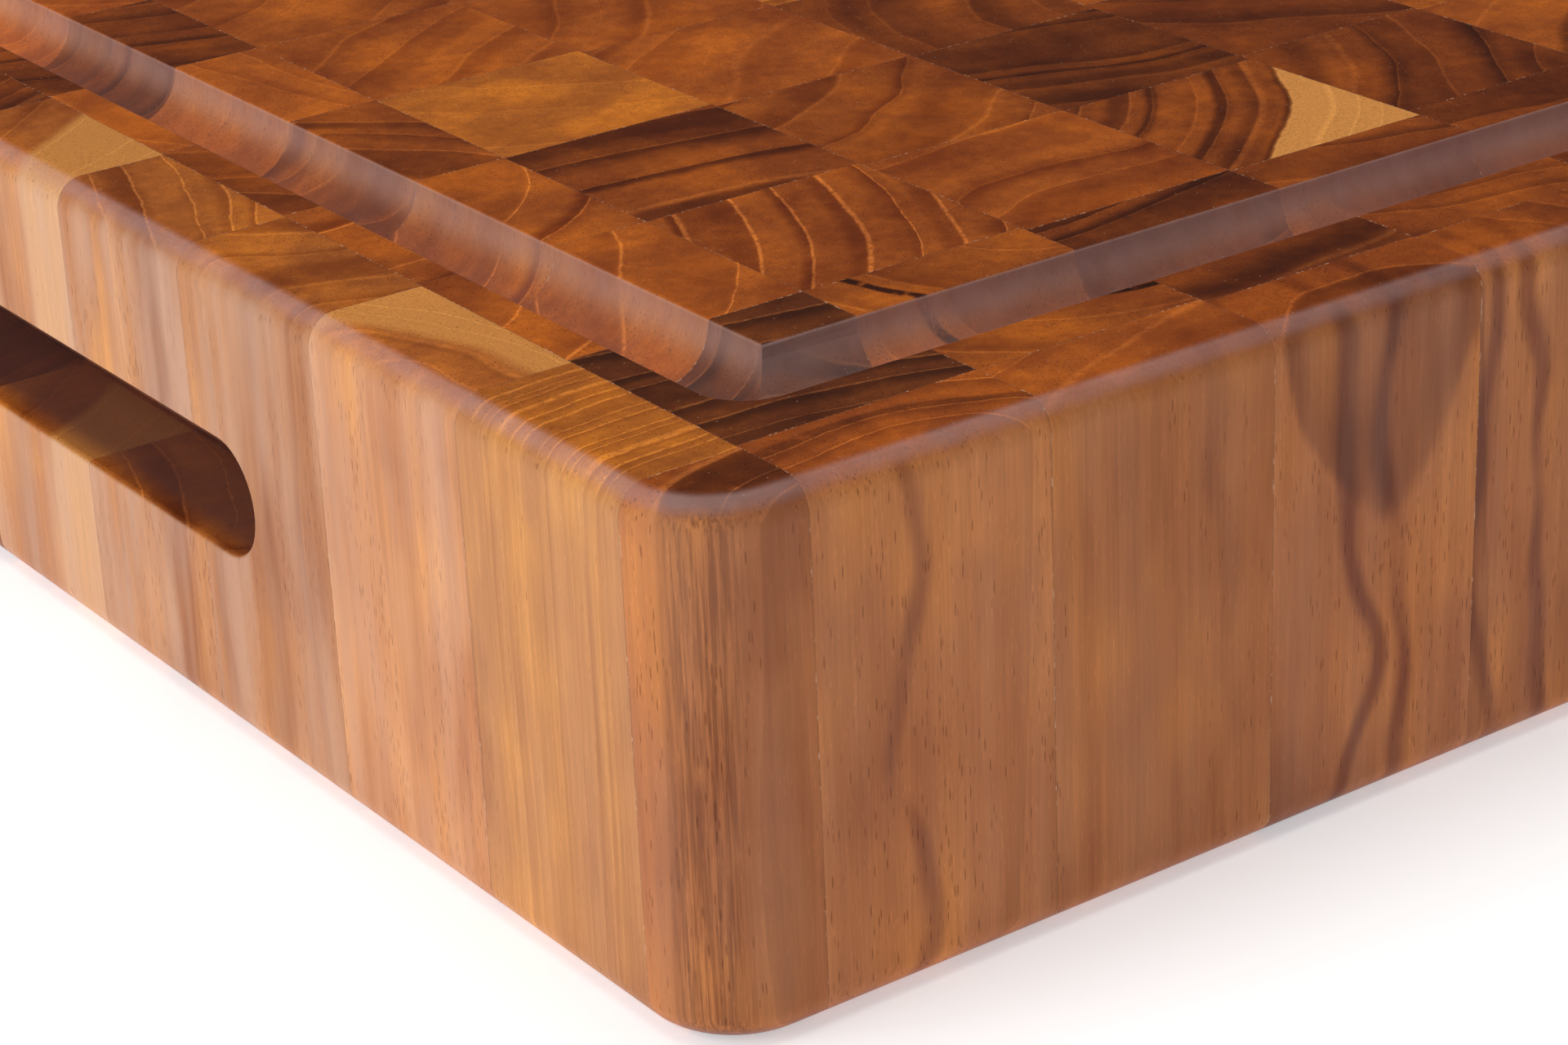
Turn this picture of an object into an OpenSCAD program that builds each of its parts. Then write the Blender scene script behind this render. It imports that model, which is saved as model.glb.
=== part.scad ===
// End-grain teak cutting board with a juice groove and two finger slots.
// Units are millimetres. X is the long axis, Y the short axis, +Z is up.
// The origin is the middle of the underside.
// The board is 18 strips laid side by side along X. Each strip is a row of wooden
// blocks along Y. A strip is given here as its front edge block, the inner run of ten
// full blocks, and its back edge block.

/* [Board] */
// Length of the board, along X
board_l = 431; // [426:1:433]
// Width of the board, along Y
board_w = 274; // [270:1:277]
// Thickness of the board
board_h = 50.8; // [44:0.1:64]
// Radius of the four upright corners
corner_r = 9.2; // [4:0.1:9.2]
// Radius of the rounded edges around the top and the underside
edge_r = 3; // [1:0.1:3.5]

/* [Blocks] */
// Width of a full strip, along X
strip_w = 25.4; // [25.2:0.1:25.4]
// Length of a full block, along Y
block_l = 25.4; // [25.2:0.1:25.4]
// How far the seams between blocks wander from one strip to the next
seam_wander = 1.2; // [0:0.1:1.2]

/* [Juice groove] */
// Distance from the board's side to the groove's centre line
groove_inset = 22; // [21.5:0.1:23]
// Radius of the round-bottomed groove, which is also its depth
groove_r = 5.3; // [3:0.1:5.5]

/* [Finger slots] */
// Overall length of a slot, along Y
slot_len = 124; // [100:1:150]
// Height of a slot; its ends are full half circles
slot_h = 11.9; // [10:0.1:14]
// Depth of a slot into the end of the board
slot_d = 13; // [13:0.1:16]
// Height of a slot's centre line above the underside
slot_z = 26.3; // [22:0.1:28]

/* [Hidden] */
full_strips = 16;
full_blocks = 10;
// Width of the two cut-down strips at the ends
edge_strip = (board_l - full_strips * strip_w) / 2;
// Mean length of the cut-down blocks at the front and back
edge_block = (board_w - full_blocks * block_l) / 2;
run_l = full_blocks * block_l;
// The corner rounding always stays inside the corner block
corner = min(corner_r, edge_block - 0.5 * seam_wander);
// Cutters reach this far past the wood they cut
over = 1;
// Seam position of each strip, as a share of seam_wander
wander = [-0.42, 0.1, 0, -0.75, -1, 0.3, -0.5, 0.6, 0.1,
          -0.3, 0.8, -0.6, 0.4, -0.2, 0.7, -0.4, 0.2, -0.3];
$fa = 4;
$fs = 0.3;

// Teak tones, from dark heartwood to pale sapwood
dark = [0.30, 0.15, 0.08];
brown = [0.44, 0.23, 0.11];
rust = [0.55, 0.28, 0.12];
orange = [0.66, 0.37, 0.16];
golden = [0.74, 0.48, 0.22];
sapwood = [0.84, 0.66, 0.40];

// Where strip i (1 to 18) starts along X, measured from the left end of the board
function strip_x(i) = i == 1 ? 0 : edge_strip + (i - 2) * strip_w;
// Length of the front edge block of strip i
function front_l(i) = edge_block + seam_wander * wander[i - 1];
// Length of the back edge block of strip i
function back_l(i) = board_w - run_l - front_l(i);

// Moves a shape from the front left corner of the board to the board's own frame
module on_board() {
  translate([-board_l / 2, -board_w / 2, 0]) {
    children();
  }
}

// Mirrors a shape to the right-hand end of the board
module right_end() {
  translate([board_l, 0, 0]) {
    mirror([1, 0, 0]) {
      children();
    }
  }
}

// Mirrors a shape to the back of the board
module back_side() {
  translate([0, board_w, 0]) {
    mirror([0, 1, 0]) {
      children();
    }
  }
}

// What the rounding takes off a square edge
module edge_waste() {
  difference() {
    translate([-over, -over]) {
      square(edge_r + over);
    }
    translate([edge_r, edge_r]) {
      circle(r = edge_r);
    }
  }
}

// Section of the board's edge: inward distance by height, both edges rounded
module edge_profile(depth) {
  difference() {
    square([depth, board_h]);
    edge_waste();
    translate([0, board_h]) {
      mirror([0, 1]) {
        edge_waste();
      }
    }
  }
}

// Section of the upright corner from its own axis: radius by height
module rim_profile() {
  square([corner - edge_r, board_h]);
  translate([0, edge_r]) {
    square([corner, board_h - 2 * edge_r]);
  }
  for (z = [edge_r, board_h - edge_r]) {
    translate([corner - edge_r, z]) {
      circle(r = edge_r);
    }
  }
}

// Edge section run along X for w, with its outer face at Y = 0
module front_bar(w, depth) {
  rotate([90, 0, 90]) {
    linear_extrude(w) {
      edge_profile(depth);
    }
  }
}

// Edge section run along Y for l, with its outer face at X = 0
module side_bar(l, depth) {
  translate([0, l, 0]) {
    rotate([90, 0, 0]) {
      linear_extrude(l) {
        edge_profile(depth);
      }
    }
  }
}

// Block on the front edge of a full strip
module front_block(i) {
  translate([strip_x(i), 0, 0]) {
    front_bar(strip_w, front_l(i));
  }
}

// Block on the back edge of a full strip
module back_block(i) {
  back_side() {
    translate([strip_x(i), 0, 0]) {
      front_bar(strip_w, back_l(i));
    }
  }
}

// Corner block at the front left, l long, with the upright corner rounded
module corner_block(l) {
  union() {
    translate([corner, corner, 0]) {
      rotate([0, 0, 180]) {
        rotate_extrude(angle = 90) {
          rim_profile();
        }
      }
    }
    translate([corner, 0, 0]) {
      front_bar(edge_strip - corner, l);
    }
    translate([0, corner, 0]) {
      side_bar(l - corner, corner);
    }
  }
}

// The finger slot, cut in from the left end: a flat slot with half-round ends
module finger_slot() {
  translate([-over, board_w / 2, slot_z]) {
    rotate([90, 0, 90]) {
      linear_extrude(slot_d + over) {
        square([slot_len - slot_h, slot_h], center = true);
        for (side = [-1, 1]) {
          translate([side * (slot_len - slot_h) / 2, 0]) {
            circle(d = slot_h);
          }
        }
      }
    }
  }
}

// Round-bottomed cut along X from x for w, its axis at distance y and on the top face
module groove_along_x(x, w, y) {
  translate([x, y, board_h]) {
    rotate([0, 90, 0]) {
      cylinder(r = groove_r, h = w);
    }
  }
}

// Inner run of a full strip in the middle of the board, crossed twice by the groove
module inner_run(i) {
  x = strip_x(i);
  difference() {
    translate([x, front_l(i), 0]) {
      cube([strip_w, run_l, board_h]);
    }
    groove_along_x(x - over, strip_w + 2 * over, groove_inset);
    groove_along_x(x - over, strip_w + 2 * over, board_w - groove_inset);
  }
}

// Inner run of the second strip from the left, f from the front of the board. The
// groove runs along it and turns at both ends, and the slot just reaches it.
module turn_run(f) {
  x = strip_x(2);
  difference() {
    translate([x, f, 0]) {
      cube([strip_w, run_l, board_h]);
    }
    translate([groove_inset, groove_inset, board_h]) {
      rotate([-90, 0, 0]) {
        cylinder(r = groove_r, h = board_w - 2 * groove_inset);
      }
    }
    for (y = [groove_inset, board_w - groove_inset]) {
      groove_along_x(groove_inset, strip_w, y);
      translate([groove_inset, y, board_h]) {
        sphere(r = groove_r);
      }
    }
    finger_slot();
  }
}

// Inner run of the cut-down strip at the left end, f from the front of the board
module end_run(f) {
  difference() {
    translate([0, f, 0]) {
      side_bar(run_l, edge_strip);
    }
    finger_slot();
  }
}

module strip_01_front_block() {
  color(dark) on_board() {
    corner_block(front_l(1));
  }
}

module strip_01_inner_run() {
  color(orange) on_board() {
    end_run(front_l(1));
  }
}

module strip_01_back_block() {
  color(rust) on_board() {
    back_side() {
      corner_block(back_l(1));
    }
  }
}

module strip_02_front_block() {
  color(brown) on_board() {
    front_block(2);
  }
}

module strip_02_inner_run() {
  color(rust) on_board() {
    turn_run(front_l(2));
  }
}

module strip_02_back_block() {
  color(golden) on_board() {
    back_block(2);
  }
}

module strip_03_front_block() {
  color(orange) on_board() {
    front_block(3);
  }
}

module strip_03_inner_run() {
  color(golden) on_board() {
    inner_run(3);
  }
}

module strip_03_back_block() {
  color(brown) on_board() {
    back_block(3);
  }
}

module strip_04_front_block() {
  color(rust) on_board() {
    front_block(4);
  }
}

module strip_04_inner_run() {
  color(dark) on_board() {
    inner_run(4);
  }
}

module strip_04_back_block() {
  color(orange) on_board() {
    back_block(4);
  }
}

module strip_05_front_block() {
  color(brown) on_board() {
    front_block(5);
  }
}

module strip_05_inner_run() {
  color(orange) on_board() {
    inner_run(5);
  }
}

module strip_05_back_block() {
  color(dark) on_board() {
    back_block(5);
  }
}

module strip_06_front_block() {
  color(golden) on_board() {
    front_block(6);
  }
}

module strip_06_inner_run() {
  color(brown) on_board() {
    inner_run(6);
  }
}

module strip_06_back_block() {
  color(rust) on_board() {
    back_block(6);
  }
}

module strip_07_front_block() {
  color(rust) on_board() {
    front_block(7);
  }
}

module strip_07_inner_run() {
  color(rust) on_board() {
    inner_run(7);
  }
}

module strip_07_back_block() {
  color(orange) on_board() {
    back_block(7);
  }
}

module strip_08_front_block() {
  color(dark) on_board() {
    front_block(8);
  }
}

module strip_08_inner_run() {
  color(golden) on_board() {
    inner_run(8);
  }
}

module strip_08_back_block() {
  color(brown) on_board() {
    back_block(8);
  }
}

module strip_09_front_block() {
  color(orange) on_board() {
    front_block(9);
  }
}

module strip_09_inner_run() {
  color(brown) on_board() {
    inner_run(9);
  }
}

module strip_09_back_block() {
  color(sapwood) on_board() {
    back_block(9);
  }
}

module strip_10_front_block() {
  color(brown) on_board() {
    front_block(10);
  }
}

module strip_10_inner_run() {
  color(orange) on_board() {
    inner_run(10);
  }
}

module strip_10_back_block() {
  color(rust) on_board() {
    back_block(10);
  }
}

module strip_11_front_block() {
  color(golden) on_board() {
    front_block(11);
  }
}

module strip_11_inner_run() {
  color(dark) on_board() {
    inner_run(11);
  }
}

module strip_11_back_block() {
  color(brown) on_board() {
    back_block(11);
  }
}

module strip_12_front_block() {
  color(rust) on_board() {
    front_block(12);
  }
}

module strip_12_inner_run() {
  color(rust) on_board() {
    inner_run(12);
  }
}

module strip_12_back_block() {
  color(orange) on_board() {
    back_block(12);
  }
}

module strip_13_front_block() {
  color(brown) on_board() {
    front_block(13);
  }
}

module strip_13_inner_run() {
  color(golden) on_board() {
    inner_run(13);
  }
}

module strip_13_back_block() {
  color(dark) on_board() {
    back_block(13);
  }
}

module strip_14_front_block() {
  color(orange) on_board() {
    front_block(14);
  }
}

module strip_14_inner_run() {
  color(brown) on_board() {
    inner_run(14);
  }
}

module strip_14_back_block() {
  color(golden) on_board() {
    back_block(14);
  }
}

module strip_15_front_block() {
  color(dark) on_board() {
    front_block(15);
  }
}

module strip_15_inner_run() {
  color(orange) on_board() {
    inner_run(15);
  }
}

module strip_15_back_block() {
  color(rust) on_board() {
    back_block(15);
  }
}

module strip_16_front_block() {
  color(golden) on_board() {
    front_block(16);
  }
}

module strip_16_inner_run() {
  color(rust) on_board() {
    inner_run(16);
  }
}

module strip_16_back_block() {
  color(brown) on_board() {
    back_block(16);
  }
}

module strip_17_front_block() {
  color(rust) on_board() {
    front_block(17);
  }
}

module strip_17_inner_run() {
  color(brown) on_board() {
    right_end() {
      turn_run(front_l(17));
    }
  }
}

module strip_17_back_block() {
  color(orange) on_board() {
    back_block(17);
  }
}

module strip_18_front_block() {
  color(orange) on_board() {
    right_end() {
      corner_block(front_l(18));
    }
  }
}

module strip_18_inner_run() {
  color(golden) on_board() {
    right_end() {
      end_run(front_l(18));
    }
  }
}

module strip_18_back_block() {
  color(dark) on_board() {
    right_end() {
      back_side() {
        corner_block(back_l(18));
      }
    }
  }
}

strip_01_front_block();
strip_01_inner_run();
strip_01_back_block();
strip_02_front_block();
strip_02_inner_run();
strip_02_back_block();
strip_03_front_block();
strip_03_inner_run();
strip_03_back_block();
strip_04_front_block();
strip_04_inner_run();
strip_04_back_block();
strip_05_front_block();
strip_05_inner_run();
strip_05_back_block();
strip_06_front_block();
strip_06_inner_run();
strip_06_back_block();
strip_07_front_block();
strip_07_inner_run();
strip_07_back_block();
strip_08_front_block();
strip_08_inner_run();
strip_08_back_block();
strip_09_front_block();
strip_09_inner_run();
strip_09_back_block();
strip_10_front_block();
strip_10_inner_run();
strip_10_back_block();
strip_11_front_block();
strip_11_inner_run();
strip_11_back_block();
strip_12_front_block();
strip_12_inner_run();
strip_12_back_block();
strip_13_front_block();
strip_13_inner_run();
strip_13_back_block();
strip_14_front_block();
strip_14_inner_run();
strip_14_back_block();
strip_15_front_block();
strip_15_inner_run();
strip_15_back_block();
strip_16_front_block();
strip_16_inner_run();
strip_16_back_block();
strip_17_front_block();
strip_17_inner_run();
strip_17_back_block();
strip_18_front_block();
strip_18_inner_run();
strip_18_back_block();
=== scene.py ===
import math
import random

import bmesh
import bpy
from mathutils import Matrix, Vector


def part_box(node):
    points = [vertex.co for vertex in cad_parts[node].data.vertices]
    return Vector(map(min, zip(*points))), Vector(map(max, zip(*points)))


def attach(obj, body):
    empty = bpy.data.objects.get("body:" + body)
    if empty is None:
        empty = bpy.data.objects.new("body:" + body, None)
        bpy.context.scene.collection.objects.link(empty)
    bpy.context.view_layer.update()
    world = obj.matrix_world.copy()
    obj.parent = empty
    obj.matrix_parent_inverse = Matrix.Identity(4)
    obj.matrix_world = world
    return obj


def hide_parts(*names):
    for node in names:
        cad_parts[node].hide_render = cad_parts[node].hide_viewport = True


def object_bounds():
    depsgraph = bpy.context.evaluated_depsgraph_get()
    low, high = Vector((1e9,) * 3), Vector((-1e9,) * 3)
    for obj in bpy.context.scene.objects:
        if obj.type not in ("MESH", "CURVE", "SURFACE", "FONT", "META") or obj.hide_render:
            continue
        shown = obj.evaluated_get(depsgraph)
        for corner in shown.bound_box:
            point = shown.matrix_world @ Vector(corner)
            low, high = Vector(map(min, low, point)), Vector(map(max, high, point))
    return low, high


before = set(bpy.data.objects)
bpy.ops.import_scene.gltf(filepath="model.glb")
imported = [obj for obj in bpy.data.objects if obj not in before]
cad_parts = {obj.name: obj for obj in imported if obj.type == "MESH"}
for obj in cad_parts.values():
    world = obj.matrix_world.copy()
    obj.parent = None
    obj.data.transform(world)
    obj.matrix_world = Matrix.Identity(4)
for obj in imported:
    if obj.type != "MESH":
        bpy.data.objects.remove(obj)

# End-grain teak cutting board, seen close up at its front left corner. The CAD nodes of the front and
# back blocks are shown as they are. Each inner run of a strip is shown as the ten glued blocks that it
# stands for.
# All the wood is one solid material: growth rings, streaks and pores run through every block along +Z,
# so a block shows end grain on the top and long grain on its sides.

bpy.context.view_layer.update()
CAD_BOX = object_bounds()

MM = 0.001
LOW, HIGH = CAD_BOX
CORNER = Vector((LOW.x, LOW.y, 0))
THICKNESS = HIGH.z - LOW.z
STRIPS = 18
INNER_BLOCKS = 10
BACK_ROW = INNER_BLOCKS + 1
SEED = 20                       # of the random wood
OUTWARD = 20 * MM               # edge blocks count as this much wider, so that no glue shows on outer faces

# Modelling the blocks
SLICE_DIST = 1e-7
WELD_DIST = 1e-6
ONE_PLANE = math.radians(0.2)   # faces nearer than this to one plane are joined
SHARP = math.radians(32)        # shading breaks at edges sharper than this
GROOVE_RIM = 0.3 * MM           # how wide the groove's rim is softened
SLOT_RIM = 0.6 * MM             # and the finger slots'
RIM_SEGMENTS = 3
RIM_CLOSE = 0.01 * MM           # a rim lies this near a flat face
RIM_ANGLE = math.radians(40)    # and is sharper than this
JOINT_TILT = 0.01               # a glue joint's normal points up or down by less than this
JOINT_HEIGHT = 8 * MM           # it's taller than this
JOINT_INSIDE = 1 * MM           # and lies further inside the board than this

# ---------------------------------------------------------------- wood tones and measures
# Long-grain colours of early and late wood, in linear RGB. End grain is made deeper than this by the shader.
TONES = {
    "chocolate": ((0.27, 0.105, 0.055), (0.10, 0.035, 0.020)),
    "umber": ((0.36, 0.130, 0.052), (0.16, 0.050, 0.024)),
    "rust": ((0.44, 0.165, 0.064), (0.22, 0.072, 0.030)),
    "amber": ((0.55, 0.215, 0.080), (0.34, 0.110, 0.040)),
    "tan": ((0.62, 0.270, 0.115), (0.42, 0.155, 0.060)),
    "honey": ((0.64, 0.285, 0.105), (0.45, 0.170, 0.060)),
    "sapwood": ((0.82, 0.440, 0.235), (0.62, 0.270, 0.125)),
}

# Colours that go over the wood's own, in linear RGB
SAPWOOD = (0.80, 0.45, 0.24)
CHALK = (0.70, 0.44, 0.33)
SPECK = (0.62, 0.42, 0.27)
OLD_GLUE = (0.09, 0.035, 0.02)
PALE_GLUE = (0.62, 0.38, 0.24)
# Painted sheen: reflected light painted on the roundings and in the groove
PAINTED_SHEEN = (0.66, 0.45, 0.43)
# Painted shade inside the finger slots
PAINTED_SLOT_SHADE = (0.17, 0.080, 0.070)

# What the wood's colour is multiplied by where a feature is strongest
TINTS = {
    "golden": (1.28, 1.32, 1.05),
    "dusky": (0.84, 0.78, 0.80),
    "dark_stripe": (0.91, 0.89, 0.92),
    "light_stripe": (1.06, 1.07, 1.03),
    "streak": (0.22, 0.17, 0.22),
    "vein": (0.48, 0.38, 0.48),
    "pore": (0.40, 0.30, 0.28),
    "glint": (1.55, 1.60, 1.60),
    "long_grain": (1.07, 1.01, 0.93),
    "end_grain": (1.04, 1.04, 0.66),
}

# How strongly features show at most, from 0 for not at all to 1 for fully
STRENGTHS = {
    "pore": 0.62,
    "glint": 0.24,
    "speck": 0.45,
    "old_glue": 0.30,
    # Painted sheen of reflected light on the roundings and in the groove, and painted shade in the finger
    # slots
    "painted_sheen": 0.22,              # everywhere on a worked part
    "painted_sheen_patches": 0.34,      # and this much more where it's patchy
    "rounding_painted_sheen": 0.75,
    "painted_slot_shade": 0.64,
}

# The pale line at the start of a ring multiplies the colour under it, and then adds to it
LINE_GAIN = (1.6, 1.75, 1.7)
LINE_LIFT = (0.08, 0.036, 0.012)

# Measures of the wood's figure, in millimetres. The first value of a pair is where a feature starts to show,
# and the second where it shows fully.
WAVER = 7.0                     # range in which rings waver sideways, times the block's own wave
ROUGH_RINGS = 0.40              # range of the rings' fine unevenness
VEIN_BEND = 16.0                # range in which veins wind sideways
VEIN_THINNEST = 0.4             # least half width of a vein
VEIN_GROWTH = 3.0               # and the most that is added to it
LINE_FROM_RING = (0.24, 0.05)   # the pale line, from the start of a ring
GLUE_FROM_SEAM = (0.10, 0.03)
BUMP_HEIGHT = 0.05

NOISE_MEAN = (0.5, 0.5, 0.5)    # of a noise's colour
ABSENT = (500, 1, 0)            # a feature of the wood far away from the block, with no strength

# How many cells of each noise fit in a millimetre along X, Y and Z. The grain runs along Z, so there most
# of them are drawn out.
CELLS = {
    "waver": (0.05, 0.05, 0.02),
    "fine": (0.5, 0.5, 0.03),
    "fibre": (3.4, 3.4, 0.10),
    "mottle": (0.16, 0.16, 0.02),
    "drift": (0.08, 0.08, 0.04),
    "stripe": (0.55, 0.55, 0.012),
    "broken": (0.35, 0.35, 0.12),
    "bends": (0.02, 0.03, 0.045),
    "fade": (0.2, 0.2, 0.05),
    "pore": (3.6, 3.6, 0.50),
    "glint": (4.2, 4.2, 0.8),
    "chalk": (0.22, 0.22, 0.03),
    "rows": (1.4, 1.4, 0.3),
    "speck": (1.3, 1.3, 1.3),
    "crumbs": (2.2, 2.2, 0.8),
    "sheen_patches": (0.3, 0.3, 0.3),
}

# Where the worked parts of the board lie, in millimetres in from its faces, ends and long sides. The first
# value of a pair is where a part starts to show, and the second where it shows fully.
# The painted sheen lies on the roundings and in the groove, and the painted shade in the finger slots
ROUNDING_BELOW_FACE = (0.01, 0.30)
ROUNDING_TO_DEPTH = (5.0, 3.5)
ROUNDING_TO_EDGE = (5.0, 4.0)
GROOVE_BELOW_FACE = (0.02, 0.25)
GROOVE_TO_DEPTH = (8.0, 6.5)
GROOVE_FROM_EDGE = (10.0, 12.0)
GROOVE_PAINTED_SHEEN = (4.2, 0.8)
SLOT_FROM_END = (0.3, 4.0)
SLOT_FROM_FACE = (12.0, 14.0)
SLOT_FROM_SIDE = (70.0, 73.0)


class Wood:
    """How one block's wood grew. Distances are in millimetres from the middle of the block."""

    def __init__(self, tone, rings=(0, -60), spacing=4.0, lines=0.5, bands=0.5, late_from=0.3, lean=(0, 0),
                 wave=1.0, sap=ABSENT, streak=ABSENT, veins=(0, 0, 0), chalk=0.1, shade=1.0):
        self.tone = tone            # one of TONES
        self.rings = rings          # where the pith is
        self.spacing = spacing      # of the growth rings
        self.lines = lines          # strength of the pale line at the start of each ring
        self.bands = bands          # strength of the dark latewood
        self.late_from = late_from  # share of a ring at which the latewood starts
        self.lean = lean            # how far the pith moves sideways for each millimetre of height
        self.wave = wave            # how much the rings waver
        self.sap = sap              # pale sapwood: distance from the pith, softness, strength
        self.streak = streak        # mineral streak: distance from the pith, half width, strength
        self.veins = veins          # where two soft dark veins run, along X, and their strength
        self.chalk = chalk          # how dry and chalky its long grain is
        self.shade = shade          # brightness of the whole block


# Blocks round the front left corner, by (strip, row), with row 0 along the front edge. The values after the
# tone are rings, spacing, lines, bands and late_from.
NEAR = {
    (1, 0): Wood("rust", (22, -20), 4.4, 0.9, 0.3, 0.3, lean=(0.02, 0.0), wave=0.4, streak=(31.8, 5.0, 0.6),
                 shade=1.12),
    (1, 1): Wood("honey", (14, -95), 1.8, 0.8, 0.4, wave=0.5, shade=0.85),
    (1, 2): Wood("tan", (-46, -16.5), 4.0, 0.3, 0.3, sap=(58.2, 1.2, 0.85), streak=(56.4, 0.8, 0.1),
                 chalk=0.45, shade=0.96),
    (1, 3): Wood("tan", (40, 60), 7.0, 0.3, 0.7, chalk=0.6, shade=0.82),
    (1, 4): Wood("tan", (-52, 23), 4.2, 0.8, 0.7, 0.5, wave=0.6, chalk=0.75, shade=0.84),
    (1, 5): Wood("tan", (-26, 49), 6.0, 0.3, 0.6, wave=0.4, sap=(60.5, 0.8, 0.9), chalk=0.55, shade=0.87),
    (1, 6): Wood("umber", (-30, 50), 4.0, 0.5, 0.5),
    (2, 0): Wood("rust", (-7, -20), 4.6, 0.9, 0.5, 0.5, lean=(0.03, 0), wave=0.6, streak=(33, 1.0, 0.4),
                 veins=(-3.5, -30, 0.7), shade=1.15),
    (2, 1): Wood("chocolate", (-25, -132), 4.5, 0.8, 0.8, wave=0.5, shade=1.05),
    (2, 2): Wood("amber", (-35, 29), 9.0, 0.9, 0.5, wave=0.4),
    (2, 3): Wood("amber", (-11, 18), 11.0, 1.0, 0.9, 0.5, wave=0.4, shade=0.93),
    (2, 4): Wood("rust", (-40, -40), 7.0, 0.5, 0.6),
    (2, 5): Wood("amber", (60, 10), 8.0, 0.3, 0.4),
    (2, 6): Wood("umber", (20, 60), 6.0, 0.3, 0.6),
    (2, 7): Wood("amber", (50, 40), 8.0, 0.3, 0.4, shade=1.2),
    (3, 0): Wood("amber", (30, -80), 9.0, 0.4, 0.4, wave=1.0, veins=(7, 30, 0.3)),
    (3, 1): Wood("amber", (15.6, 17.3), 9.2, 0.4, 0.5, 0.7, wave=0.3, streak=(24.3, 0.8, 1.0), shade=0.82),
    (3, 2): Wood("amber", (-61, 30), 4.6, 1.0, 0.9, 0.5, wave=0.3, shade=0.93),
    (3, 3): Wood("rust", (-18, -106), 8.0, 0.5, 1.0, wave=0.3),
    (3, 4): Wood("honey", (40, 60), 9.0, 0.2, 0.3, shade=0.96),
    (3, 5): Wood("amber", (40, -60), 8.0, 0.3, 0.5, shade=0.95),
    (3, 6): Wood("amber", (-40, 60), 8.0, 0.3, 0.5, shade=0.93),
    (4, 0): Wood("umber", (4, -50), 9.0, 0.5, 0.7, 0.6, lean=(0.03, 0.14), wave=1.4, veins=(3.5, -4, 1.0),
                 shade=1.25),
    (4, 1): Wood("umber", (-10, 80), 6.0, 0.4, 0.9, wave=0.5),
    (4, 2): Wood("amber", (10, -80), 10.0, 0.3, 0.6, shade=0.98),
    (4, 3): Wood("amber", (-30, 50), 8.0, 0.3, 0.8, shade=0.85),
    (4, 4): Wood("amber", (40, -50), 10.0, 0.2, 0.5),
    (4, 5): Wood("amber", (-50, 30), 8.0, 0.3, 0.5),
    (5, 0): Wood("rust", (-70, -16), 7.0, 0.4, 0.6, veins=(-11.3, -4.4, 0.9), shade=1.12),
    (5, 1): Wood("rust", (30, 90), 7.0, 0.3, 0.6, shade=1.05),
    (5, 2): Wood("rust", (-46, 44), 3.4, 0.3, 1.0, wave=0.4, sap=(68.4, 0.4, 1.0), shade=1.0),
    (5, 3): Wood("umber", (20, 60), 6.0, 0.2, 0.8, shade=0.8),
    (5, 4): Wood("rust", (50, -20), 8.0, 0.2, 0.5, shade=0.95),
    (6, 0): Wood("amber", (40, -70), 6.0, 0.4, 0.6, veins=(-6, 5, 0.7), shade=0.93),
    (6, 1): Wood("umber", (0, 70), 7.0, 0.3, 0.6, shade=1.15),
    (6, 2): Wood("umber", (-50, 30), 6.0, 0.4, 0.7, shade=1.08),
    (6, 3): Wood("umber", (30, 50), 8.0, 0.3, 0.5, shade=1.05),
    (6, 4): Wood("amber", (-40, 40), 8.0, 0.3, 0.4, shade=0.9),
    (7, 2): Wood("amber", (30, -60), 9.0, 0.3, 0.4, streak=(66, 2.0, 0.5), shade=0.97),
}


def random_wood(dice):
    """Wood for a block further off: mostly amber and rust, with some very dark or pale ones."""
    tone = dice.choices(list(TONES), weights=(14, 20, 22, 24, 8, 9, 3))[0]
    turn = dice.uniform(0, 2 * math.pi)
    away = dice.uniform(22, 110)
    wood = Wood(tone, rings=(away * math.cos(turn), away * math.sin(turn)), spacing=dice.uniform(2.2, 9.0),
                lines=dice.uniform(0.1, 0.9), bands=dice.uniform(0.4, 1.0), late_from=dice.uniform(0.2, 0.7),
                lean=(dice.uniform(-0.06, 0.06), dice.uniform(-0.06, 0.06)), wave=dice.uniform(0.6, 1.8),
                shade=dice.uniform(0.85, 1.12))
    if dice.random() < 0.12:
        wood.sap = (away + dice.uniform(0, 9), dice.uniform(0.5, 3), 1.0)
    if dice.random() < 0.25:
        wood.streak = (away + dice.uniform(-9, 9), dice.uniform(0.5, 1.6), dice.uniform(0.3, 0.8))
    if dice.random() < 0.35:
        wood.veins = (dice.uniform(-12, 0), dice.uniform(0, 12), dice.uniform(0.3, 0.9))
    return wood


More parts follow.
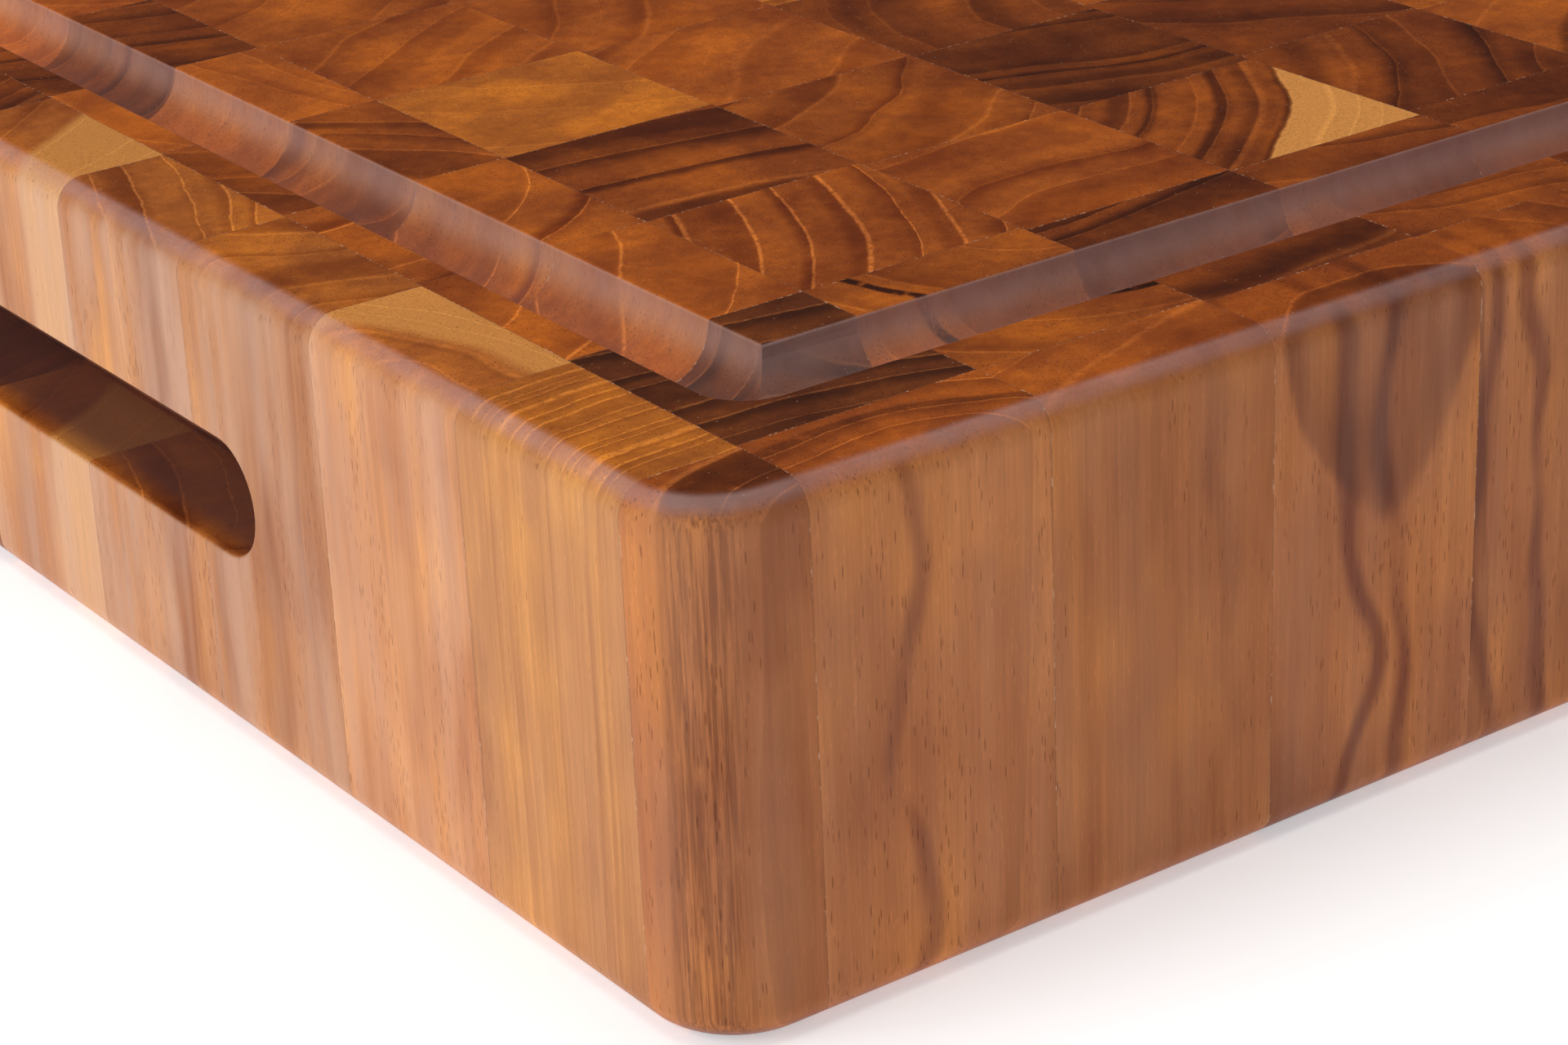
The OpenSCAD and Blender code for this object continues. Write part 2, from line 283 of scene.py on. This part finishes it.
# ---------------------------------------------------------------- node helpers
class Graph:
    """Short ways to add shader nodes. A value given to a call is a number, a tuple or a node's socket."""

    def __init__(self, material):
        self.tree = material.node_tree

    def node(self, kind, **settings):
        made = self.tree.nodes.new(kind)
        for name, value in settings.items():
            setattr(made, name, value)
        return made

    def put(self, socket, value):
        if isinstance(value, bpy.types.NodeSocket):
            self.tree.links.new(value, socket)
        else:
            socket.default_value = value

    def math(self, operation, *values, clamp=False):
        made = self.node("ShaderNodeMath", operation=operation, use_clamp=clamp)
        for socket, value in zip(made.inputs, values):
            self.put(socket, value)
        return made.outputs[0]

    def vector(self, operation, *values):
        made = self.node("ShaderNodeVectorMath", operation=operation)
        sockets = [made.inputs[0], made.inputs["Scale"]] if operation == "SCALE" else made.inputs
        for socket, value in zip(sockets, values):
            self.put(socket, value)
        return made.outputs["Value"] if operation == "LENGTH" else made.outputs[0]

    def split(self, vector):
        made = self.node("ShaderNodeSeparateXYZ")
        self.put(made.inputs[0], vector)
        return made.outputs

    def join(self, x, y, z):
        made = self.node("ShaderNodeCombineXYZ")
        for socket, value in zip(made.inputs, (x, y, z)):
            self.put(socket, value)
        return made.outputs[0]

    def own(self, name):
        """One of the block's own properties, as a vector."""
        made = self.node("ShaderNodeAttribute", attribute_type="OBJECT", attribute_name=name)
        return made.outputs["Vector"]

    def noise(self, place, scale=1.0, detail=2.0, roughness=0.5, dimensions="3D", output="Fac"):
        made = self.node("ShaderNodeTexNoise", noise_dimensions=dimensions)
        self.put(made.inputs["W" if dimensions == "1D" else "Vector"], place)
        made.inputs["Scale"].default_value = scale
        made.inputs["Detail"].default_value = detail
        made.inputs["Roughness"].default_value = roughness
        return made.outputs[output]

    def ramp(self, value, start, end):
        """0 before start and 1 after end, smooth in between. Two numbers may go down from start to end."""
        made = self.node("ShaderNodeMapRange", interpolation_type="SMOOTHSTEP")
        flipped = isinstance(start, float) and isinstance(end, float) and start > end
        self.put(made.inputs["Value"], value)
        self.put(made.inputs["From Min"], end if flipped else start)
        self.put(made.inputs["From Max"], start if flipped else end)
        made.inputs["To Min"].default_value = 1.0 if flipped else 0.0
        made.inputs["To Max"].default_value = 0.0 if flipped else 1.0
        return made.outputs[0]

    def mix(self, share, first, second, blend="MIX"):
        made = self.node("ShaderNodeMix", data_type="RGBA", blend_type=blend)
        sockets = [made.inputs[0], made.inputs[6], made.inputs[7]]
        for socket, value in zip(sockets, (share, first, second)):
            self.put(socket, (*value, 1) if isinstance(value, tuple) else value)
        return made.outputs[2]


# ---------------------------------------------------------------- the wood
def teak():
    """Oiled teak. Every block gives the middle, half size, colours and growth of its own wood."""
    material = bpy.data.materials.new("teak")
    material.use_nodes = True
    g = Graph(material)
    shader = material.node_tree.nodes["Principled BSDF"]

    place = g.vector("SCALE", g.node("ShaderNodeTexCoord").outputs["Object"], 1 / MM)
    local = g.vector("SUBTRACT", place, g.own("middle"))
    local_x, local_y, local_z = g.split(local)
    seed = g.own("seed")
    seed_x, seed_y, _ = g.split(seed)
    rings_x, rings_y, spacing = g.split(g.own("rings"))
    lines, bands, wave = g.split(g.own("figure"))
    late_from, chalky, _ = g.split(g.own("grain"))
    lean_x, lean_y, shade = g.split(g.own("lean"))
    sap_at, sap_soft, sap_share = g.split(g.own("sap"))
    streak_at, streak_wide, streak_share = g.split(g.own("streak"))
    _, _, normal_z = g.split(g.node("ShaderNodeNewGeometry").outputs["Normal"])
    upright = g.math("ABSOLUTE", normal_z)
    end_grain = g.ramp(upright, 0.35, 0.95)
    long_grain = g.math("SUBTRACT", 1.0, end_grain)

    def cells(name, where=local):
        """Where to read a noise: drawn out as CELLS says, and elsewhere for each block."""
        return g.vector("ADD", g.vector("MULTIPLY", where, CELLS[name]), seed)

    def tint(share, colour, name):
        return g.mix(share, colour, g.vector("MULTIPLY", colour, TINTS[name]))

    # Where a point is in the trunk: distance from the pith, which leans and wavers with height
    waver = g.vector("SUBTRACT", g.noise(cells("waver"), 1.0, 1.0, output="Color"), NOISE_MEAN)
    waver_x, waver_y, _ = g.split(g.vector("SCALE", waver, g.math("MULTIPLY", wave, WAVER)))
    pith_x = g.math("MULTIPLY_ADD", lean_x, local_z, rings_x)
    pith_y = g.math("MULTIPLY_ADD", lean_y, local_z, rings_y)
    from_x = g.math("ADD", g.math("SUBTRACT", local_x, pith_x), waver_x)
    from_y = g.math("ADD", g.math("SUBTRACT", local_y, pith_y), waver_y)
    radius = g.vector("LENGTH", g.join(from_x, from_y, 0.0))
    fine = g.noise(cells("fine"))
    radius = g.math("MULTIPLY_ADD", g.math("SUBTRACT", fine, 0.5), ROUGH_RINGS, radius)
    fibre = g.noise(cells("fibre"), 1.0, 3.0, 0.65)
    feather = g.math("MULTIPLY_ADD", long_grain, 0.3, 0.15)
    radius = g.math("MULTIPLY_ADD", g.math("SUBTRACT", fibre, 0.5), feather, radius)

    # Growth rings of uneven width, each with a tone of its own
    count = g.math("DIVIDE", radius, spacing)
    uneven = g.noise(g.math("MULTIPLY_ADD", count, 0.55, seed_x), 1.0, 1.0, dimensions="1D")
    count = g.math("MULTIPLY_ADD", uneven, 1.6, count)
    share = g.math("FRACT", count)
    ring_tone = g.noise(g.math("MULTIPLY_ADD", count, 0.9, seed_y), 1.0, 1.0, dimensions="1D")
    late = g.math("MULTIPLY", g.ramp(share, late_from, 0.92), g.ramp(share, 1.0, 0.93))
    mottle = g.noise(cells("mottle"), 1.0, 3.0)
    dark = g.math("MULTIPLY", late, 0.75)
    dark = g.math("MULTIPLY_ADD", g.math("SUBTRACT", ring_tone, 0.48), 2.6, dark)
    dark = g.math("MULTIPLY_ADD", g.math("SUBTRACT", mottle, 0.5), 1.4, dark)
    dark = g.math("MULTIPLY", dark, bands, clamp=True)
    base = g.mix(dark, g.own("wood"), g.own("late"))

    # Slow drift of colour through the block, and lighter and darker stripes along the grain
    drift = g.noise(cells("drift"), 1.0, 3.0)
    base = tint(g.ramp(drift, 0.45, 0.70), base, "golden")
    base = tint(g.ramp(drift, 0.48, 0.30), base, "dusky")
    stripe = g.noise(cells("stripe"), 1.0, 3.0, 0.6)
    base = tint(g.ramp(stripe, 0.40, 0.66), base, "dark_stripe")
    base = tint(g.ramp(stripe, 0.46, 0.30), base, "light_stripe")

    # Pale sapwood beyond one ring
    beyond = g.math("DIVIDE", g.math("SUBTRACT", radius, sap_at), sap_soft)
    base = g.mix(g.math("MULTIPLY", g.ramp(beyond, -1.0, 1.0), sap_share), base, SAPWOOD)

    # One dark mineral streak that follows a ring and breaks up along the grain
    off = g.math("DIVIDE", g.math("ABSOLUTE", g.math("SUBTRACT", radius, streak_at)), streak_wide)
    broken = g.noise(cells("broken"), 1.3, 3.0)
    streak = g.math("MULTIPLY", g.ramp(off, 1.0, 0.35), g.ramp(broken, 0.2, 0.42))
    fibrous = g.math("MULTIPLY_ADD", g.ramp(fibre, 0.35, 0.62), long_grain, end_grain)
    streak = g.math("MULTIPLY", streak, fibrous)
    base = tint(g.math("MULTIPLY", streak, streak_share), base, "streak")

    # Two soft purple-brown veins, plainer on the long grain
    vein = g.math("MULTIPLY", veins(g, local_x, cells), g.math("MULTIPLY_ADD", long_grain, 0.6, 0.4))
    base = tint(vein, base, "vein")

    # Fine fibres, drawn out along the grain
    base = g.mix(1.0, base, grey(g, fibre, 0.76, 1.24), "MULTIPLY")

    # Open pores: dots on the end grain, short dashes on the long grain, thinner late in a ring
    pore, pore_pick = pores(g, cells("pore", place), 0.40, 0.22)
    crowd = g.math("MULTIPLY_ADD", mottle, 0.9, g.math("MULTIPLY", share, 0.35))
    pore = g.math("MULTIPLY", pore, g.ramp(g.math("SUBTRACT", pore_pick, crowd), 0.08, 0.35))
    base = tint(g.math("MULTIPLY", pore, STRENGTHS["pore"]), base, "pore")
    glint, glint_pick = pores(g, cells("glint", place), 0.45, 0.20)
    glint = g.math("MULTIPLY", glint, g.ramp(glint_pick, 0.74, 0.80))
    base = tint(g.math("MULTIPLY", glint, STRENGTHS["glint"]), base, "glint")

    # Long grain is a little chalky in patches
    chalk = g.math("MULTIPLY", g.ramp(g.noise(cells("chalk")), 0.30, 0.75), long_grain)
    base = g.mix(g.math("MULTIPLY", chalk, chalky), base, CHALK)
    base = tint(long_grain, base, "long_grain")

    # End grain is deeper and redder than long grain
    deeper = g.node("ShaderNodeGamma")
    g.put(deeper.inputs["Color"], base)
    g.put(deeper.inputs["Gamma"], g.math("MULTIPLY_ADD", end_grain, 0.55, 1.0))
    base = tint(end_grain, deeper.outputs[0], "end_grain")
    base = g.mix(1.0, base, grey(g, shade, 0.0, 1.0), "MULTIPLY")

    # Pale earlywood line at the start of each ring, broken into rows of pores
    from_line = g.math("MULTIPLY", g.math("MINIMUM", share, g.math("SUBTRACT", 1.0, share)), spacing)
    rows = g.noise(cells("rows", place))
    line = g.math("MULTIPLY", g.ramp(from_line, *LINE_FROM_RING), g.ramp(rows, 0.22, 0.55))
    on_ends = g.math("MULTIPLY_ADD", end_grain, 0.92, 0.08)
    line = g.math("MULTIPLY", line, g.math("MULTIPLY", lines, on_ends))
    paler = g.vector("ADD", g.vector("MULTIPLY", base, LINE_GAIN), LINE_LIFT)
    base = g.mix(line, base, paler)

    # Pale specks of dust and filled pores on the end grain
    dots, dot_pick = pores(g, cells("speck", place), 0.13, 0.06)
    dots = g.math("MULTIPLY", dots, g.ramp(dot_pick, 0.70, 0.75))
    dots = g.math("MULTIPLY", dots, end_grain)
    base = g.mix(g.math("MULTIPLY", dots, STRENGTHS["speck"]), base, SPECK)

    # Glue line: a hair's breadth of dark, then pale and crumbly glue at the rim of the block
    half_x, half_y, _ = g.split(g.own("half"))
    to_seam = g.math("MINIMUM", g.math("SUBTRACT", half_x, g.math("ABSOLUTE", local_x)),
                     g.math("SUBTRACT", half_y, g.math("ABSOLUTE", local_y)))
    crumbs = g.noise(g.vector("MULTIPLY", place, CELLS["crumbs"]), 1.0, 3.0, 0.7)
    glue = g.ramp(to_seam, *GLUE_FROM_SEAM)
    base = g.mix(g.math("MULTIPLY", glue, STRENGTHS["old_glue"]), base, OLD_GLUE)
    base = g.mix(g.math("MULTIPLY", glue, g.ramp(crumbs, 0.54, 0.66)), base, PALE_GLUE)

    # Painted sheen: a pale lilac haze is painted into the colour of the rounded edges and the groove,
    # standing in for reflected light. The finger slots are painted dark, standing in for the shade inside
    # them.
    painted_sheen_mask, slot_shade_mask = worked_parts(g, place, upright)
    sheen_patches = g.noise(g.vector("MULTIPLY", place, CELLS["sheen_patches"]), 1.0, 3.0, 0.6)
    painted_sheen_share = g.math("MULTIPLY_ADD", sheen_patches, STRENGTHS["painted_sheen_patches"], STRENGTHS["painted_sheen"])
    base = g.mix(g.math("MULTIPLY", painted_sheen_mask, painted_sheen_share), base, PAINTED_SHEEN)
    base = g.mix(g.math("MULTIPLY", slot_shade_mask, STRENGTHS["painted_slot_shade"]), base, PAINTED_SLOT_SHADE)
    g.put(shader.inputs["Base Color"], base)

    gloss = g.math("MULTIPLY_ADD", mottle, 0.14, 0.36)
    gloss = g.math("MULTIPLY_ADD", painted_sheen_mask, 0.05, gloss)
    gloss = g.math("MULTIPLY_ADD", pore, 0.15, gloss)
    g.put(shader.inputs["Roughness"], gloss)
    shader.inputs["IOR"].default_value = 1.45
    shader.inputs["Specular IOR Level"].default_value = 0.13

    relief = g.math("MULTIPLY_ADD", fibre, 0.35, g.math("MULTIPLY", pore, -1.0))
    relief = g.math("MULTIPLY_ADD", glue, -0.8, relief)
    bump = g.node("ShaderNodeBump")
    bump.inputs["Strength"].default_value = 0.25
    bump.inputs["Distance"].default_value = BUMP_HEIGHT * MM
    g.put(bump.inputs["Height"], relief)
    g.put(shader.inputs["Normal"], bump.outputs[0])
    return material


def veins(g, local_x, cells):
    """How much a point is in one of the block's two veins, which wind as they rise and fade in places."""
    at_1, at_2, strength = g.split(g.own("veins"))
    bends = g.noise(cells("bends"), 1.0, 1.0, output="Color")
    bend_1, bend_2, _ = g.split(g.vector("SCALE", g.vector("SUBTRACT", bends, NOISE_MEAN), VEIN_BEND))
    off_1 = g.math("ABSOLUTE", g.math("SUBTRACT", local_x, g.math("ADD", at_1, bend_1)))
    off_2 = g.math("ABSOLUTE", g.math("SUBTRACT", local_x, g.math("ADD", at_2, bend_2)))
    fade = g.noise(cells("fade"), 1.0, 1.0)
    width = g.math("MULTIPLY_ADD", fade, VEIN_GROWTH, VEIN_THINNEST)
    vein = g.ramp(g.math("DIVIDE", g.math("MINIMUM", off_1, off_2), width), 1.0, 0.1)
    return g.math("MULTIPLY", g.math("MULTIPLY", vein, g.ramp(fade, 0.25, 0.5)), strength)


def worked_parts(g, place, upright):
    """How much painted sheen a point gets on a rounded edge or in the groove, and how much painted shade in
    a finger slot.
    """
    x, y, z = g.split(place)
    from_face = g.math("MINIMUM", z, g.math("SUBTRACT", THICKNESS / MM, z))
    from_end = g.math("SUBTRACT", HIGH.x / MM, g.math("ABSOLUTE", x))
    from_side = g.math("SUBTRACT", HIGH.y / MM, g.math("ABSOLUTE", y))
    from_edge = g.math("MINIMUM", from_end, from_side)

    near_face = g.math("MULTIPLY", g.ramp(from_face, *ROUNDING_BELOW_FACE),
                       g.ramp(from_face, *ROUNDING_TO_DEPTH))
    # Painted sheen on the roundings, fading out where they turn to face sideways
    rounding = g.math("MULTIPLY", g.ramp(upright, 0.40, 0.80), near_face)
    rounding = g.math("MULTIPLY", rounding, STRENGTHS["rounding_painted_sheen"])
    rounding = g.math("MULTIPLY", rounding, g.ramp(from_edge, *ROUNDING_TO_EDGE))

    # Painted sheen in the groove, strongest on its upper walls
    groove = g.math("MULTIPLY", g.ramp(from_face, *GROOVE_BELOW_FACE), g.ramp(from_face, *GROOVE_TO_DEPTH))
    groove = g.math("MULTIPLY", groove, g.ramp(from_edge, *GROOVE_FROM_EDGE))
    groove = g.math("MULTIPLY", groove, g.math("MULTIPLY_ADD", g.ramp(from_face, *GROOVE_PAINTED_SHEEN), 0.75, 0.25))
    # The painted sheen is stronger in the runs along the long sides
    lengthwise = g.math("GREATER_THAN", from_end, from_side)
    groove = g.math("MULTIPLY", groove, g.math("MULTIPLY_ADD", lengthwise, 0.95, 0.85))

    # Painted shade deep inside the finger slots
    slot_shade_mask = g.math("MULTIPLY", g.ramp(from_end, *SLOT_FROM_END), g.ramp(from_face, *SLOT_FROM_FACE))
    slot_shade_mask = g.math("MULTIPLY", slot_shade_mask, g.ramp(from_side, *SLOT_FROM_SIDE))
    return g.math("MAXIMUM", rounding, groove), slot_shade_mask


def pores(g, place, outer, inner):
    """Round cells: how much a point is in one, and a random number for each. place sets their stretch."""
    cells = g.node("ShaderNodeTexVoronoi")
    g.put(cells.inputs["Vector"], place)
    cells.inputs["Scale"].default_value = 1.0
    picked, _, _ = g.split(cells.outputs["Color"])
    return g.ramp(cells.outputs["Distance"], outer, inner), picked


def grey(g, value, low, high):
    """A grey that goes from low to high as value goes from 0 to 1."""
    made = g.node("ShaderNodeMapRange", clamp=False)
    g.put(made.inputs["Value"], value)
    made.inputs["To Min"].default_value = low
    made.inputs["To Max"].default_value = high
    return made.outputs[0]


# ---------------------------------------------------------------- blocks
def soften_rims(bm):
    """Takes the sharpness off the rims of the groove and of the finger slots."""
    for flat, wide in ((lambda v: abs(v.co.z - HIGH.z) < RIM_CLOSE, GROOVE_RIM),
                       (lambda v: HIGH.x - abs(v.co.x) < RIM_CLOSE, SLOT_RIM)):
        rims = [e for e in bm.edges if len(e.link_faces) == 2 and all(flat(v) for v in e.verts)
                and e.calc_face_angle() > RIM_ANGLE and not on_seam(e)]
        if rims:
            bmesh.ops.bevel(bm, geom=rims, offset=wide, segments=RIM_SEGMENTS, profile=0.5, affect="EDGES",
                            clamp_overlap=True)


def on_seam(edge):
    """True if an edge lies in a glue joint: a face on one side of it faces another block."""
    return any(is_joint(face) for face in edge.link_faces)


def is_joint(face):
    """True for a tall upright face inside the board."""
    heights = [v.co.z for v in face.verts]
    middle = face.calc_center_median()
    inside = min(HIGH.x - abs(middle.x), HIGH.y - abs(middle.y))
    upright = abs(face.normal.z) < JOINT_TILT
    return upright and max(heights) - min(heights) > JOINT_HEIGHT and inside > JOINT_INSIDE


def block_mesh(node, near, far, name):
    """The part of a CAD node between two Y planes, as a closed mesh with flat faces whole."""
    bm = bmesh.new()
    bm.from_mesh(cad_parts[node].data)
    bmesh.ops.remove_doubles(bm, verts=bm.verts, dist=WELD_DIST)
    for where, outward in ((near, -1), (far, 1)):
        everything = bm.verts[:] + bm.edges[:] + bm.faces[:]
        cut = bmesh.ops.bisect_plane(bm, geom=everything, dist=SLICE_DIST, plane_co=(0, where, 0),
                                     plane_no=(0, outward, 0), clear_outer=True)
        rim = [e for e in cut["geom_cut"] if isinstance(e, bmesh.types.BMEdge) and e.is_boundary]
        if rim:
            bmesh.ops.edgeloop_fill(bm, edges=rim)
    bmesh.ops.dissolve_limit(bm, angle_limit=ONE_PLANE, verts=bm.verts, edges=bm.edges,
                             use_dissolve_boundaries=False)
    bmesh.ops.recalc_face_normals(bm, faces=bm.faces)
    soften_rims(bm)
    for face in bm.faces:
        face.smooth = True
    mesh = bpy.data.meshes.new(name)
    bm.to_mesh(mesh)
    bm.free()
    mesh.set_sharp_from_angle(angle=SHARP)
    return mesh


def dress(block, strip, row, y_low, y_high, wood, dice, material):
    """Gives a block its wood: the shared material and its own growth."""
    x_low, x_high = (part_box(node_name(strip, "inner_run"))[side].x for side in (0, 1))
    x_low -= OUTWARD if strip == 1 else 0
    x_high += OUTWARD if strip == STRIPS else 0
    y_low -= OUTWARD if row == 0 else 0
    y_high += OUTWARD if row == BACK_ROW else 0
    light, late = TONES[wood.tone]
    block["middle"] = [(x_low + x_high) / 2 / MM, (y_low + y_high) / 2 / MM, THICKNESS / 2 / MM]
    block["half"] = [(x_high - x_low) / 2 / MM, (y_high - y_low) / 2 / MM, THICKNESS / 2 / MM]
    block["wood"] = list(light)
    block["late"] = list(late)
    block["rings"] = [*map(float, wood.rings), float(wood.spacing)]
    block["figure"] = [float(wood.lines), float(wood.bands), float(wood.wave)]
    block["grain"] = [float(wood.late_from), float(wood.chalk), 0.0]
    block["lean"] = [*map(float, wood.lean), float(wood.shade)]
    block["sap"] = [float(v) for v in wood.sap]
    block["streak"] = [float(v) for v in wood.streak]
    block["veins"] = [float(v) for v in wood.veins]
    block["seed"] = [dice.uniform(0, 90) for _ in range(3)]
    block.data.materials.clear()
    block.data.materials.append(material)


def node_name(strip, part):
    return f"strip_{strip:02d}_{part}"


def blocks():
    """All 18 x 12 blocks, each with its own wood."""
    material = teak()
    dice = random.Random(SEED)
    for strip in range(1, STRIPS + 1):
        run = node_name(strip, "inner_run")
        run_low, run_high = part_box(run)
        pitch = (run_high.y - run_low.y) / INNER_BLOCKS
        for row in range(BACK_ROW + 1):
            wood = random_wood(dice)
            wood = NEAR.get((strip, row), wood)
            if 0 < row < BACK_ROW:
                near = run_low.y + (row - 1) * pitch
                far = near + pitch
                name = node_name(strip, f"block_{row:02d}")
                block = bpy.data.objects.new(name, block_mesh(run, near, far, name))
                bpy.context.scene.collection.objects.link(block)
                even = block.modifiers.new("even_shading", "WEIGHTED_NORMAL")
                even.keep_sharp = True
                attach(block, "root")
                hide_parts(run)
            else:
                node = node_name(strip, "front_block" if row == 0 else "back_block")
                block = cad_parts[node]
                near, far = (corner.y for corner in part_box(node))
            dress(block, strip, row, near, far, wood, dice, material)


# ---------------------------------------------------------------- studio
# Camera at the photo's viewing angle, found from the board's straight edges
YAW, PITCH, ROLL = (math.radians(angle) for angle in (34.91, 24.02, -2.53))
EYE = CORNER + Vector((-157.3, -239.4, 178.1)) * MM
LENS = 90.8
SENSOR = 36


def studio():
    """Plain pale floor, a bright band low on the horizon, and two soft lights above."""
    bpy.ops.mesh.primitive_plane_add(size=20)
    floor = bpy.context.object
    floor.name = "floor"
    floor.location.z = -0.3 * MM  # a hair below the underside, so that the two don't coincide
    material = bpy.data.materials.new("pale_floor")
    material.use_nodes = True
    g = Graph(material)
    shader = material.node_tree.nodes["Principled BSDF"]
    cloud = g.noise(g.node("ShaderNodeTexCoord").outputs["Object"], 3.0)
    g.put(shader.inputs["Base Color"], g.mix(cloud, (0.93, 0.93, 0.93), (0.96, 0.96, 0.96)))
    shader.inputs["Roughness"].default_value = 0.7
    shader.inputs["Emission Color"].default_value = (0.96, 0.98, 1.0, 1)
    shader.inputs["Emission Strength"].default_value = 0.45
    floor.data.materials.append(material)

    world = bpy.data.worlds.new("studio")
    world.use_nodes = True
    g = Graph(world)
    background = world.node_tree.nodes["Background"]
    _, _, rise = g.split(g.node("ShaderNodeTexCoord").outputs["Generated"])
    background.inputs["Color"].default_value = (1.0, 0.95, 0.91, 1)
    glow = g.math("MULTIPLY_ADD", g.ramp(rise, 0.10, 0.02), 0.80, 0.07)
    g.put(background.inputs["Strength"], glow)
    bpy.context.scene.world = world

    softbox("key", offset=(-0.9, 0.15, 0.55), size=0.9, watts=6.2, colour=(0.97, 1.0, 1.03))
    softbox("top", offset=(0.1, 0.2, 1.1), size=1.0, watts=7.5, colour=(1.0, 0.98, 0.96))


def softbox(name, offset, size, watts, colour):
    """A square area light, offset from the photographed corner of the board and facing it."""
    data = bpy.data.lights.new(name, "AREA")
    data.size = size
    data.energy = watts
    data.color = colour
    lamp = bpy.data.objects.new(name, data)
    lamp.location = CORNER + Vector(offset)
    lamp.rotation_euler = (-Vector(offset)).to_track_quat("-Z", "Y").to_euler()
    bpy.context.scene.collection.objects.link(lamp)


def camera():
    """Close-up of the front left corner, from a little above."""
    ahead = Vector((math.sin(YAW) * math.cos(PITCH), math.cos(YAW) * math.cos(PITCH), -math.sin(PITCH)))
    level = Vector((math.cos(YAW), -math.sin(YAW), 0))
    rise = level.cross(ahead)
    right = level * math.cos(ROLL) + rise * math.sin(ROLL)
    up = rise * math.cos(ROLL) - level * math.sin(ROLL)
    data = bpy.data.cameras.new("camera")
    data.sensor_width = SENSOR
    data.lens = LENS
    data.clip_start = 10 * MM
    eye = bpy.data.objects.new("camera", data)
    turn = Matrix((right, up, -ahead)).transposed()
    eye.matrix_world = Matrix.Translation(EYE) @ turn.to_4x4()
    bpy.context.scene.collection.objects.link(eye)
    bpy.context.scene.camera = eye


blocks()
studio()
camera()
bpy.context.scene.view_settings.view_transform = "Standard"

bpy.context.view_layer.update()
